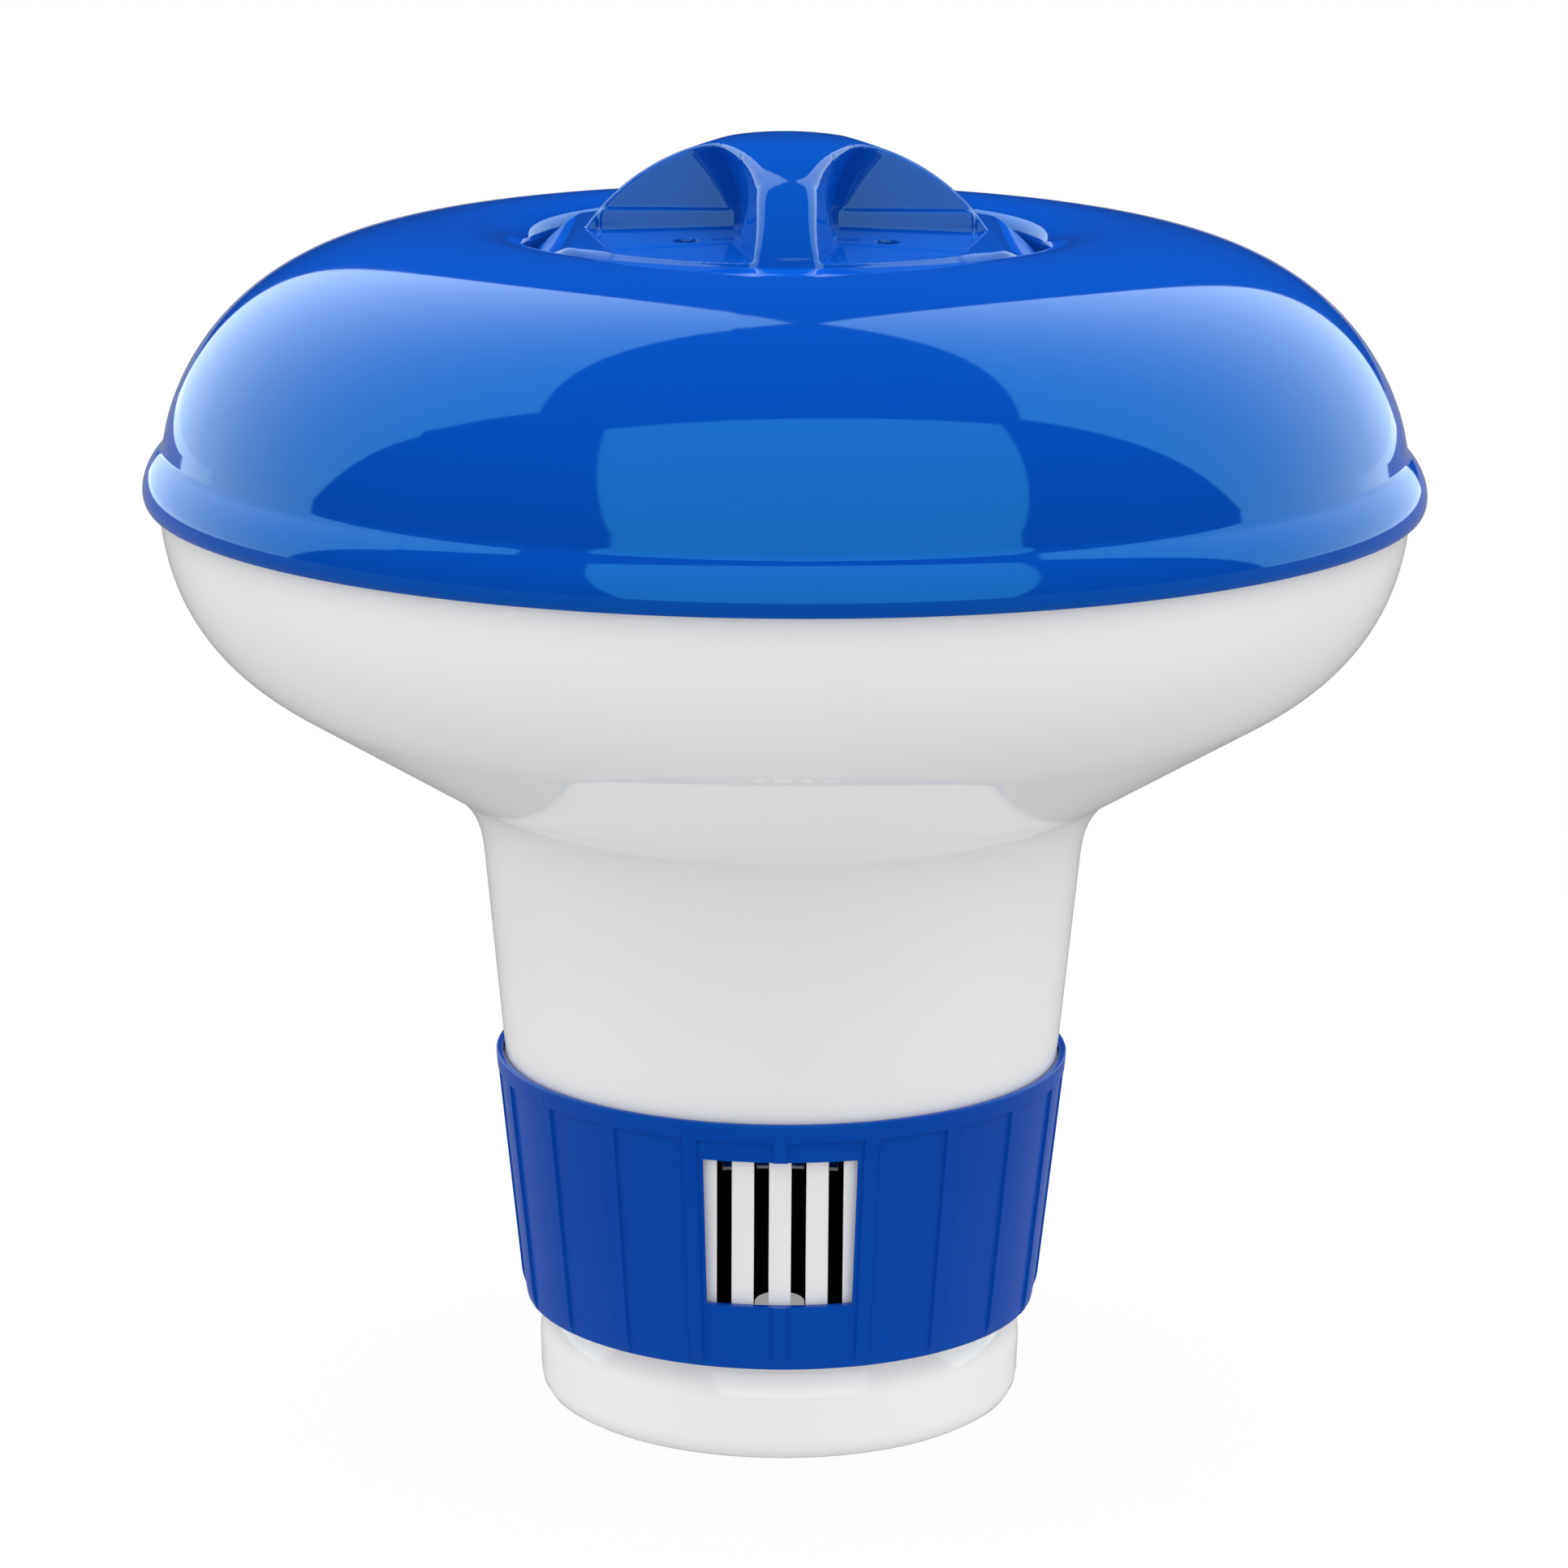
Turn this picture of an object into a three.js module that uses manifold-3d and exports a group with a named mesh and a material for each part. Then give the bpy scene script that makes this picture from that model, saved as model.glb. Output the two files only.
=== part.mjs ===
// Floating chlorine dispenser: a hollow float of two shells, a tapered tablet cage with slots,
// a flow collar that turns on the cage, a bayonet lid and a ballasted foot.
// Millimetres, +Z up, origin at the middle of the foot. The slots and the collar's windows face -Y and +Y.
import * as THREE from "three";
import { mergeVertices } from "three/addons/utils/BufferGeometryUtils.js";
import Module from "manifold-3d";

const wasm = await Module();
wasm.setup();

// ---------- Driving dimensions ----------
// A pair such as [98.3, 135.5] is [radius, height]; a pair whose name ends in _Z is [low, high].
const FLATS = 40; // flats round the turned surfaces, the same on all, so that neighbours stay parallel
const SCREW_FLATS = 20;
const WALL = 2; // moulded wall
const GAP = 0.35; // between parts that sit on or in each other

const FLANGE = { foot: [100.86, 149], pulls: [[102.2, 150.4], [101.5, 154.5]], top: [98.4, 157.2] };
const DOME = { foot: [97.8, 160], pulls: [[96.9, 164.3], [90.4, 187]], crest: [56, 190.9] };
const LIP = { pulls: [[49, 191.6], [41.3, 191]], end: [41.3, 187] }; // rolls down into the lid's well
const MOUTH = { inner: 42.2, bottom: 166 }; // tube below the ledge
const LEDGE_R = 38.7; // passes a 76 mm tablet
const LEDGE_Z = [180, 182.5];

const RIM = { r: 98.95, top: 152.5, stop: 154 }; // the lower shell's edge, lapped by the flange
const BOWL = { pulls: [[98.3, 135.5], [92.4, 125.8]], end: [81.1, 119] }; // then a straight cone
const THROAT = { corner: [49.2, 99.8], cut: 6.5 }; // where cone and neck meet, rounded
const NECK_TOP = [48, 90.5];

const CAGE_R = [39.9, 44.9]; // at the two ends of the collar
const COLLAR_Z = [16.5, 58];
const SPIGOT = { r: 36.5, bottom: 3, groove: [6.5, 9] }; // the cage's end, inside the base cap
const SHELF = { r: 41.5, z: [90.5, 92.5] }; // ring inside the neck that carries the sleeve
const FLOOR_Z = [10, 12];
const TABLET_STEP_Z = 21; // tablets rest here, above the floor
const SLOT = { x: [-8.7, -2.9, 2.9, 8.7], width: 2.3, z: [24.5, 53.5] };

const COLLAR = { r: [42.3, 46.45], shoulder: 18.8, foot: 41.5, chamfer: 0.4 }; // r at shoulder and top
const PANELS = { count: 20, halfDeg: 7.5, depth: 0.4, top: 55 };
const WINDOW = { halfDeg: 15.4, z: [27.3, 51.75] };
const BEAD = { z: 56.4, proud: 0.5 }; // snap bead that keeps the collar from sliding off

const SLEEVE = { r: [38.9, 40.4], z: [94.1, 175], flange: 45.6, bead: 41.6, groove: [169, 172] };

const BASE = { r: 39.4, floor: 2.2, recess: 30.6, recessDepth: 0.8, footRound: 3.2 };
const BASE_SHOULDER = { start: 10, corner: 12.5, top: 15.8 }; // heights
const BOSS = { outer: 5.5, hole: 2.4, top: 9.6 };
const BALLAST = { r: [8, 34], z: [2.5, 8] };
const SCREW = { head: 4.1, shank: 2.05, seat: 13, top: 14.4, tip: 4.6 };

const LID = { r: 40.2, flat: 31, top: 192.4, under: 189.2, rim: 185.4 };
const SKIRT = { r: [36.6, 38.2], bottom: 173, top: 186.5 };
const LUGS = { count: 3, first: 60, halfDeg: 11, outer: 40.1, z: [176.8, 179.4] };
const ENTRY = { turn: 40, halfDeg: 14, outer: 40.75 }; // notches in the ledge that let the lugs through
const SHOULDER_SLOPE = 0.61; // fall of the lid's two side shoulders
const POCKETS = { depth: 0.7, outline: [[31.35, 0], [26.5, 26.5], [23.7, 42]] }; // one quarter, in plan
const GRIP = { length: 78.4, width: 64.2, foot: 190.2, height: 15.6, wall: 1.3, corner: 6 };
const WEB = { root: 7, end: 4.4 }; // half widths of the grip's broad web, beside the wall and far out
const VENT = { x: 15.4, y: 15, r: 2 };
const SLIT = { x: 9.2, y: 14, length: 4.2, width: 1.1 };

// ---------- Outlines ----------

const vector = ([x, y]) => new THREE.Vector2(x, y);
const pair = ({ x, y }) => [x, y];

// Points of a cubic curve, its first point included.
function curve(start, [pull1, pull2], end, steps) {
  return new THREE.CubicBezierCurve(...[start, pull1, pull2, end].map(vector)).getPoints(steps).map(pair);
}

// A corner rounded off, from one cut length before it to one cut length after it.
function rounded(before, corner, after, cut, steps) {
  const at = vector(corner);
  const from = vector(before).sub(at).setLength(cut).add(at);
  const to = vector(after).sub(at).setLength(cut).add(at);
  return new THREE.QuadraticBezierCurve(from, at, to).getPoints(steps).map(pair);
}

// A line moved sideways, to its right as it runs when the distance is positive.
function offset(line, distance) {
  return line.map(([r, z], i) => {
    const [r0, z0] = line[Math.max(i - 1, 0)];
    const [r1, z1] = line[Math.min(i + 1, line.length - 1)];
    const length = Math.hypot(r1 - r0, z1 - z0);
    return [r + ((z1 - z0) / length) * distance, z - ((r1 - r0) / length) * distance];
  });
}

// Outside radius of the cage at a height beside the collar.
const cageRadius = (z) => THREE.MathUtils.mapLinear(z, ...COLLAR_Z, ...CAGE_R);

// Outside radius of the collar above its rounded foot.
const collarRadius = (z) => THREE.MathUtils.mapLinear(z, COLLAR.shoulder, COLLAR_Z[1], ...COLLAR.r);

// ---------- Solids ----------

// A solid of revolution about Z from [radius, height] points, listed either way round.
// The outline closes on itself unless both its ends are on the axis.
function turned(outline, flats = FLATS) {
  const points = outline.map(vector);
  if (THREE.ShapeUtils.isClockWise(points)) points.reverse();
  const onAxis = points[0].x === 0 && points.at(-1).x === 0;
  if (!onAxis) points.push(points[0].clone());
  return new THREE.LatheGeometry(points, flats).rotateX(Math.PI / 2);
}

// A ring of rectangular section.
function flatRing([inner, outer], [low, high], flats = FLATS) {
  const outline = [
    [inner, low],
    [outer, low],
    [outer, high],
    [inner, high],
  ];
  return turned(outline, flats);
}

// A ring of five-sided section, as an O-ring is when it is squeezed against its groove.
function oRing([inner, outer], [low, high]) {
  const middle = (inner + outer) / 2;
  const flat = (high - low) / 4;
  return turned([
    [inner, (low + high) / 2],
    [middle, low],
    [outer, low + flat],
    [outer, high - flat],
    [middle, high],
  ]);
}

// A geometry as a solid that can be joined and cut.
function solid(geometry) {
  const bare = new THREE.BufferGeometry().setAttribute("position", geometry.getAttribute("position"));
  const merged = mergeVertices(bare.setIndex(geometry.index), 1e-3);
  const vertProperties = merged.attributes.position.array;
  const triVerts = new Uint32Array(merged.index.array);
  return new wasm.Manifold(new wasm.Mesh({ numProp: 3, vertProperties, triVerts }));
}

// And back again.
function geometryOf(body) {
  const { vertProperties, triVerts } = body.getMesh();
  const geometry = new THREE.BufferGeometry();
  geometry.setAttribute("position", new THREE.BufferAttribute(vertProperties, 3));
  geometry.setIndex(new THREE.BufferAttribute(triVerts, 1));
  geometry.computeVertexNormals();
  return geometry;
}

// An outline in plan, raised from one height to another.
function prism(outline, [low, high]) {
  const shape = new THREE.Shape(outline.map(vector));
  const raised = new THREE.ExtrudeGeometry(shape, { depth: high - low, bevelEnabled: false });
  return solid(raised.translate(0, 0, low));
}

// A pie slice about the axis. Its azimuth is in degrees from -Y and grows towards +X.
function slice(azimuth, halfDeg, heights) {
  const reach = 60;
  const corner = (degrees) => {
    const angle = THREE.MathUtils.degToRad(degrees);
    return [reach * Math.sin(angle), -reach * Math.cos(angle)];
  };
  return prism([[0, 0], corner(azimuth - halfDeg), corner(azimuth + halfDeg)], heights);
}

// A block centred on the given point.
function block(size, centre) {
  return solid(new THREE.BoxGeometry(...size).translate(...centre));
}

// Slices evenly spaced round the axis.
function slices(count, first, halfDeg, heights) {
  return Array.from({ length: count }, (_, i) => slice(first + (360 / count) * i, halfDeg, heights));
}

// ---------- Float: upper shell ----------
function upperFloatShell() {
  const dome = (steps) => curve(DOME.foot, DOME.pulls, DOME.crest, steps);
  const tube = MOUTH.inner + WALL;
  const outline = [
    ...curve(FLANGE.foot, FLANGE.pulls, FLANGE.top, 6),
    ...dome(7),
    ...curve(DOME.crest, LIP.pulls, LIP.end, 4).slice(1),
    [LIP.end[0], LEDGE_Z[1]],
    [LEDGE_R, LEDGE_Z[1]],
    [LEDGE_R, LEDGE_Z[0]],
    [MOUTH.inner, LEDGE_Z[0]],
    [MOUTH.inner, MOUTH.bottom],
    [tube, MOUTH.bottom],
    [tube, DOME.crest[1] - WALL],
    ...offset(dome(5), -WALL).reverse(),
    [RIM.r - WALL, RIM.stop],
    [RIM.r + GAP, RIM.stop],
    [RIM.r + GAP, FLANGE.foot[1]],
  ];
  const heights = [LEDGE_Z[0] - 1, LEDGE_Z[1] + 1];
  const entryRing = solid(flatRing([LEDGE_R - 1, ENTRY.outer], heights));
  let shell = solid(turned(outline));
  for (const notch of slices(LUGS.count, LUGS.first + ENTRY.turn, ENTRY.halfDeg, heights)) {
    shell = shell.subtract(entryRing.intersect(notch));
  }
  return geometryOf(shell);
}

// ---------- Float: lower shell, with the neck and the tablet cage ----------

// The outside, from the rim down to the top of the neck.
function bowlOutline(bowlSteps, throatSteps) {
  return [
    [RIM.r, RIM.top],
    ...curve([RIM.r, FLANGE.foot[1]], BOWL.pulls, BOWL.end, bowlSteps),
    ...rounded(BOWL.end, THROAT.corner, NECK_TOP, THROAT.cut, throatSteps),
    NECK_TOP,
  ];
}

// The outside, from the collar's top edge down to the spigot's end.
function cageOutline() {
  const crown = cageRadius(BEAD.z) + BEAD.proud;
  return [
    [CAGE_R[1], COLLAR_Z[1]],
    [cageRadius(BEAD.z + 0.9), BEAD.z + 0.9],
    [crown, BEAD.z + 0.4],
    [crown, BEAD.z - 0.2],
    [cageRadius(BEAD.z - 0.7), BEAD.z - 0.7],
    [CAGE_R[0], COLLAR_Z[0]],
    [SPIGOT.r, COLLAR_Z[0]],
    [SPIGOT.r, SPIGOT.groove[1]],
    [SPIGOT.r - 1, SPIGOT.groove[1]],
    [SPIGOT.r - 1, SPIGOT.groove[0]],
    [SPIGOT.r, SPIGOT.groove[0]],
    [SPIGOT.r, SPIGOT.bottom],
  ];
}

// The inside, from the spigot's end up to the shelf.
function chamberOutline() {
  const bore = SPIGOT.r - WALL;
  const hole = SCREW.shank + GAP;
  return [
    [bore, SPIGOT.bottom],
    [bore, FLOOR_Z[0]],
    [hole, FLOOR_Z[0]],
    [hole, FLOOR_Z[1]],
    [bore, FLOOR_Z[1]],
    [bore, TABLET_STEP_Z],
    [cageRadius(TABLET_STEP_Z) - WALL, TABLET_STEP_Z],
    [CAGE_R[1] - WALL, COLLAR_Z[1]],
    [NECK_TOP[0] - WALL, SHELF.z[0]],
    [SHELF.r, SHELF.z[0]],
    [SHELF.r, SHELF.z[1]],
    [NECK_TOP[0] - WALL, SHELF.z[1]],
  ];
}

function lowerFloatShell() {
  const bowlInside = offset(bowlOutline(4, 2), WALL).filter(([, z]) => z > SHELF.z[1] + 1);
  const outside = [...bowlOutline(7, 3), ...cageOutline()];
  const inside = [...chamberOutline(), ...bowlInside.reverse()];
  let shell = solid(turned([...outside, ...inside]));
  const [low, high] = SLOT.z;
  for (const x of SLOT.x) {
    shell = shell.subtract(block([SLOT.width, 3 * CAGE_R[1], high - low], [x, 0, (low + high) / 2]));
  }
  return geometryOf(shell);
}

// ---------- Sleeve between the mouth and the cage, which keeps the float's air in ----------
function innerSleeve() {
  const [inner, outer] = SLEEVE.r;
  const [low, high] = SLEEVE.z;
  return turned([
    [inner, low],
    [SLEEVE.flange, low],
    [SLEEVE.flange, low + WALL],
    [outer, low + WALL],
    [outer, SLEEVE.groove[0] - 1.5],
    [SLEEVE.bead, SLEEVE.groove[0]],
    [outer, SLEEVE.groove[0]],
    [outer, SLEEVE.groove[1]],
    [SLEEVE.bead, SLEEVE.groove[1]],
    [outer, high],
    [inner, high],
  ]);
}

// ---------- Flow collar ----------
function collarOutline() {
  const clearance = GAP + 0.05;
  const inside = (z) => cageRadius(z) + clearance;
  const groove = { low: BEAD.z - 1, high: BEAD.z + 1.1, r: inside(BEAD.z) + BEAD.proud };
  const [low, high] = COLLAR_Z;
  return [
    [inside(low), low],
    [COLLAR.foot, low],
    [COLLAR.r[0], COLLAR.shoulder],
    [collarRadius(PANELS.top), PANELS.top],
    [collarRadius(high - COLLAR.chamfer), high - COLLAR.chamfer],
    [COLLAR.r[1] - COLLAR.chamfer, high],
    [inside(high), high],
    [inside(groove.high), groove.high],
    [groove.r, groove.high - 0.5],
    [groove.r, groove.low + 0.3],
    [inside(groove.low), groove.low],
  ];
}

// A ring that holds everything outside the panels' floors.
function panelRing(below) {
  const outside = COLLAR.r[1] + 4;
  return turned([
    [COLLAR.foot - PANELS.depth, below],
    [outside, below],
    [outside, PANELS.top],
    [collarRadius(PANELS.top) - PANELS.depth, PANELS.top],
    [COLLAR.r[0] - PANELS.depth, COLLAR.shoulder],
    [COLLAR.foot - PANELS.depth, COLLAR_Z[0]],
  ]);
}

function flowCollar() {
  const below = COLLAR_Z[0] - 2;
  const ring = solid(panelRing(below));
  let collar = solid(turned(collarOutline()));
  for (const panel of slices(PANELS.count, 180 / PANELS.count, PANELS.halfDeg, [below, PANELS.top])) {
    collar = collar.subtract(ring.intersect(panel));
  }
  for (const window of slices(2, 0, WINDOW.halfDeg, WINDOW.z)) {
    collar = collar.subtract(window);
  }
  return geometryOf(collar);
}

// ---------- Foot ----------
function baseCap() {
  const bore = SPIGOT.r + GAP;
  const heel = [BASE.r - 0.4, 0];
  const shoulder = [BASE.r, BASE_SHOULDER.corner];
  const top = [bore, BASE_SHOULDER.top];
  const shoulderCut = BASE_SHOULDER.corner - BASE_SHOULDER.start;
  const pit = BASE.floor + 0.8; // bottom of the screw's hole
  return turned([
    [0, BASE.recessDepth],
    [BASE.recess - 0.6, BASE.recessDepth],
    [BASE.recess, 0],
    ...rounded([BASE.recess, 0], heel, shoulder, BASE.footRound, 3),
    ...rounded(heel, shoulder, top, shoulderCut, 2),
    [bore + 0.4, BASE_SHOULDER.top],
    [bore, BASE_SHOULDER.top - 0.4],
    [bore, BASE.floor],
    [BOSS.outer, BASE.floor],
    [BOSS.outer, BOSS.top],
    [BOSS.hole, BOSS.top],
    [BOSS.hole, pit],
    [0, pit],
  ]);
}

function baseScrew() {
  const outline = [
    [0, SCREW.tip],
    [SCREW.shank - 0.8, SCREW.tip],
    [SCREW.shank, SCREW.tip + 1.2],
    [SCREW.shank, SCREW.seat],
    [SCREW.head, SCREW.seat],
    [SCREW.head, SCREW.seat + 1],
    [SCREW.head - 1, SCREW.top],
    [0, SCREW.top],
  ];
  return turned(outline, SCREW_FLATS);
}

// ---------- Lid ----------

// The lid's disc, rim and skirt, with the two side shoulders cut away.
function lidBody() {
  const disc = turned([
    [0, LID.under],
    [LID.flat, LID.under],
    [SKIRT.r[0], SKIRT.top],
    [SKIRT.r[0], SKIRT.bottom],
    [SKIRT.r[1], SKIRT.bottom],
    [SKIRT.r[1], LID.rim],
    [LID.r, LID.rim],
    [LID.r, LID.top - 3.5],
    [LID.r - 0.6, LID.top - 2.3],
    [LID.r - 1.9, LID.top - 1.7],
    [LID.flat, LID.top],
    [0, LID.top],
  ]);
  const fall = LID.r - LID.flat + 5;
  const wedge = new THREE.Shape([
    new THREE.Vector2(LID.flat, LID.top),
    new THREE.Vector2(LID.flat + fall, LID.top - fall * SHOULDER_SLOPE),
    new THREE.Vector2(LID.flat + fall, LID.top + 1),
    new THREE.Vector2(LID.flat, LID.top + 1),
  ]);
  const along = new THREE.ExtrudeGeometry(wedge, { depth: 2 * LID.r, bevelEnabled: false });
  const shoulder = solid(along.rotateX(Math.PI / 2).translate(0, LID.r, 0));
  return solid(disc).subtract(shoulder).subtract(shoulder.rotate([0, 0, 180]));
}

// A closed outline in plan from its quarter in +X +Y, listed from the X side to the Y side.
function fourfold(quarter) {
  const mirrored = (sx, sy) => quarter.map(([x, y]) => [sx * x, sy * y]);
  return [
    ...mirrored(1, 1),
    ...mirrored(-1, 1).reverse(),
    ...mirrored(-1, -1),
    ...mirrored(1, -1).reverse(),
  ].filter(([x, y], i, all) => Math.hypot(x - all.at(i - 1)[0], y - all.at(i - 1)[1]) > 0);
}

// The grip in plan: a broad web along Y, wider at its root, and a thin wall along X, with round corners.
function gripOutline() {
  const { wall, corner } = GRIP;
  const far = LID.r + 5;
  const steps = 6;
  const arc = Array.from({ length: steps + 1 }, (_, i) => {
    const angle = (Math.PI / 2) * (i / steps);
    return [WEB.root + corner * (1 - Math.sin(angle)), wall + corner * (1 - Math.cos(angle))];
  });
  return fourfold([[far, wall], ...arc, [WEB.end, far]]);
}

// The grip: a flattened dome, cut to its plan.
function grip() {
  const sunk = LID.under + 0.5;
  const shares = [0, 0.25, 0.45, 0.6, 0.74, 0.85, 0.93, 1]; // of the way from the crest to the edge
  const outline = shares.map((share) => [share, GRIP.foot + GRIP.height * (1 - share ** 2.5) ** 0.85]);
  const dome = solid(turned([...outline, [1, sunk], [0, sunk]]));
  const heights = [sunk, GRIP.foot + GRIP.height + 1];
  return dome.scale([GRIP.width / 2, GRIP.length / 2, 1]).intersect(prism(gripOutline(), heights));
}

function lid() {
  const pockets = prism(fourfold(POCKETS.outline), [LID.top - POCKETS.depth, LID.top + 1]);
  let body = lidBody().subtract(pockets).add(grip());
  const lugRing = solid(flatRing([SKIRT.r[0] + 0.5, LUGS.outer], LUGS.z));
  for (const lug of slices(LUGS.count, LUGS.first, LUGS.halfDeg, LUGS.z)) {
    body = body.add(lugRing.intersect(lug));
  }
  const through = 10;
  for (const [sx, sy] of [[1, 1], [-1, 1], [-1, -1], [1, -1]]) {
    const vent = new THREE.CylinderGeometry(VENT.r, VENT.r, through, 12).rotateX(Math.PI / 2);
    body = body.subtract(solid(vent.translate(sx * VENT.x, sy * VENT.y, LID.top)));
    body = body.subtract(block([SLIT.length, SLIT.width, through], [sx * SLIT.x, sy * SLIT.y, LID.top]));
  }
  return geometryOf(body);
}

// ---------- Seals and ballast ----------
const inset = ([low, high]) => [low + GAP, high - GAP];
const flangeGasket = () => flatRing([RIM.r - 1.75, RIM.r - 0.25], inset([RIM.top, RIM.stop]));
const sleeveGasket = () => flatRing([SHELF.r + 0.5, SLEEVE.flange - 0.4], inset([SHELF.z[1], SLEEVE.z[0]]));
const sleeveORing = () => oRing([SLEEVE.r[1] + GAP, MOUTH.inner - GAP], inset(SLEEVE.groove));
const baseORing = () => oRing([SPIGOT.r - 1 + GAP, SPIGOT.r], inset(SPIGOT.groove));
const lidGasket = () => flatRing([SKIRT.r[1] + GAP, LID.r + 0.7], inset([LEDGE_Z[1], LID.rim]));
const screwWasher = () => flatRing([2.5, 4.7], inset([FLOOR_Z[1], SCREW.seat]), SCREW_FLATS);

// ---------- Assembly ----------
const plastic = (color, roughness) => new THREE.MeshStandardMaterial({ color, roughness, metalness: 0 });
const glossyBlue = plastic(0x0a50c8, 0.18);
const satinBlue = plastic(0x0b46a8, 0.35);
const white = plastic(0xeeeeec, 0.4);
const rubber = plastic(0x2a2c2e, 0.75);
const steel = new THREE.MeshStandardMaterial({ color: 0xb4b6b8, roughness: 0.35, metalness: 0.9 });

const pieces = {
  upper_float_shell: [upperFloatShell(), glossyBlue],
  lower_float_shell: [lowerFloatShell(), white],
  inner_sleeve: [innerSleeve(), white],
  flange_gasket: [flangeGasket(), rubber],
  sleeve_oring: [sleeveORing(), rubber],
  sleeve_gasket: [sleeveGasket(), rubber],
  flow_collar: [flowCollar(), satinBlue],
  base_cap: [baseCap(), white],
  base_oring: [baseORing(), rubber],
  ballast_ring: [flatRing(BALLAST.r, BALLAST.z), steel],
  base_screw: [baseScrew(), steel],
  screw_washer: [screwWasher(), rubber],
  lid: [lid(), glossyBlue],
  lid_gasket: [lidGasket(), rubber],
};

const dispenser = new THREE.Group();
for (const [name, [geometry, material]] of Object.entries(pieces)) {
  const piece = new THREE.Mesh(geometry, material);
  piece.name = name;
  dispenser.add(piece);
}

export default dispenser;
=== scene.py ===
"""Floating chlorine dispenser: finished surfaces, materials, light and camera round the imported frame.

Lengths in the outlines are millimetres in the frame's own axes, with +Z up from the foot.
Blender's objects are in metres.
"""

import math

import bmesh
import bpy
import numpy as np
from mathutils import Matrix, Vector


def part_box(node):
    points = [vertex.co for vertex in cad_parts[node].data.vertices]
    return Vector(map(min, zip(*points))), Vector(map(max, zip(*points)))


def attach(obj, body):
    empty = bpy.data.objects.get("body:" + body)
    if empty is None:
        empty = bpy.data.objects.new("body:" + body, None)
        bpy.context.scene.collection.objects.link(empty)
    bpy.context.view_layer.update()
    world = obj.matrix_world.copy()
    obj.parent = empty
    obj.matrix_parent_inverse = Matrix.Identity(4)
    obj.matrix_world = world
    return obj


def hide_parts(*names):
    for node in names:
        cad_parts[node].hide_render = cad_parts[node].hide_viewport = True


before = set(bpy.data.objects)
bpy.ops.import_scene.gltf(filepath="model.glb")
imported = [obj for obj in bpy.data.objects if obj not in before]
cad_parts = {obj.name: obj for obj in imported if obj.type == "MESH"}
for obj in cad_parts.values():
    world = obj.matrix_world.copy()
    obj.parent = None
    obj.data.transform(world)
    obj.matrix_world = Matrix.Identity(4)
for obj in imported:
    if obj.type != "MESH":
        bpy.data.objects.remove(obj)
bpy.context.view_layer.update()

MM = 0.001
SIDES = 192  # columns round a turned piece
FILLET_STEPS = 4
FILLET_SHARE = 0.49  # the most of a corner's side that its fillet takes
SHARP_DEG, BEVEL_DEG = 40, 50  # where shading breaks, and where an edge is rounded
SAME_PLACE = 1e-6  # in an outline's millimetres, or a column's radians
SAME_VERTEX = 1e-7  # in metres


# ---------- The frame's own sizes, in millimetres ----------

class Node:
    """A CAD node's box: its outer radius and its lowest and highest height."""

    def __init__(self, name):
        low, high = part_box(name)
        self.radius, self.low, self.high = high.x / MM, low.z / MM, high.z / MM


upper = Node("upper_float_shell")
lower = Node("lower_float_shell")
sleeve = Node("inner_sleeve")
collar = Node("flow_collar")
foot = Node("base_cap")
ballast = Node("ballast_ring")
screw = Node("base_screw")
washer = Node("screw_washer")
lid = Node("lid")
lid_seal = Node("lid_gasket")

WALL = 2.0
SEAM_Z = upper.low
RIM_R = lower.radius


# ---------- Outlines: lists of (radius, height) ----------

def bezier(start, pull1, pull2, end, steps):
    t = np.linspace(0, 1, steps + 1)[:, None]
    p0, p1, p2, p3 = (np.array(p, float) for p in (start, pull1, pull2, end))
    curve = (1 - t) ** 3 * p0 + 3 * (1 - t) ** 2 * t * p1 + 3 * (1 - t) * t ** 2 * p2 + t ** 3 * p3
    return [tuple(p) for p in curve]


def bend(start, corner, end, steps=6):
    """A corner rounded between two points on its sides."""
    t = np.linspace(0, 1, steps + 1)[:, None]
    p0, p1, p2 = (np.array(p[:2], float) for p in (start, corner, end))
    curve = (1 - t) ** 2 * p0 + 2 * (1 - t) * t * p1 + t ** 2 * p2
    return [tuple(p) for p in curve]


def offset(line, distance):
    """The line moved to its right as it runs."""
    points = np.array(line, float)
    along = np.gradient(points, axis=0)
    along /= np.linalg.norm(along, axis=1)[:, None]
    return [tuple(p) for p in points + distance * np.stack([along[:, 1], -along[:, 0]], 1)]


def levels(low, high, step):
    """Heights from low to high, both included, about a step apart."""
    return np.linspace(low, high, max(2, round(abs(high - low) / step) + 1))


def rounded(corners, closed=True):
    """An outline from corners (radius, height) or (radius, height, fillet)."""
    made = []
    count = len(corners)
    for i, corner in enumerate(corners):
        p = np.array(corner[:2], float)
        fillet = corner[2] if len(corner) > 2 else 0
        if not fillet or (not closed and i in (0, count - 1)):
            made.append(tuple(p))
            continue
        a = np.array(corners[i - 1][:2], float) - p
        b = np.array(corners[(i + 1) % count][:2], float) - p
        cut = min(fillet, FILLET_SHARE * np.linalg.norm(a), FILLET_SHARE * np.linalg.norm(b))
        start = p + a / np.linalg.norm(a) * cut
        end = p + b / np.linalg.norm(b) * cut
        made += bend(start, p, end, FILLET_STEPS)
    return made


# ---------- Meshes ----------

def add_object(name, vertices, faces):
    """A mesh object from vertices in millimetres."""
    mesh = bpy.data.meshes.new(name)
    mesh.from_pydata((np.array(vertices) * MM).tolist(), [], faces)
    mesh.update()
    obj = bpy.data.objects.new(name, mesh)
    bpy.context.scene.collection.objects.link(obj)
    return obj


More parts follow.
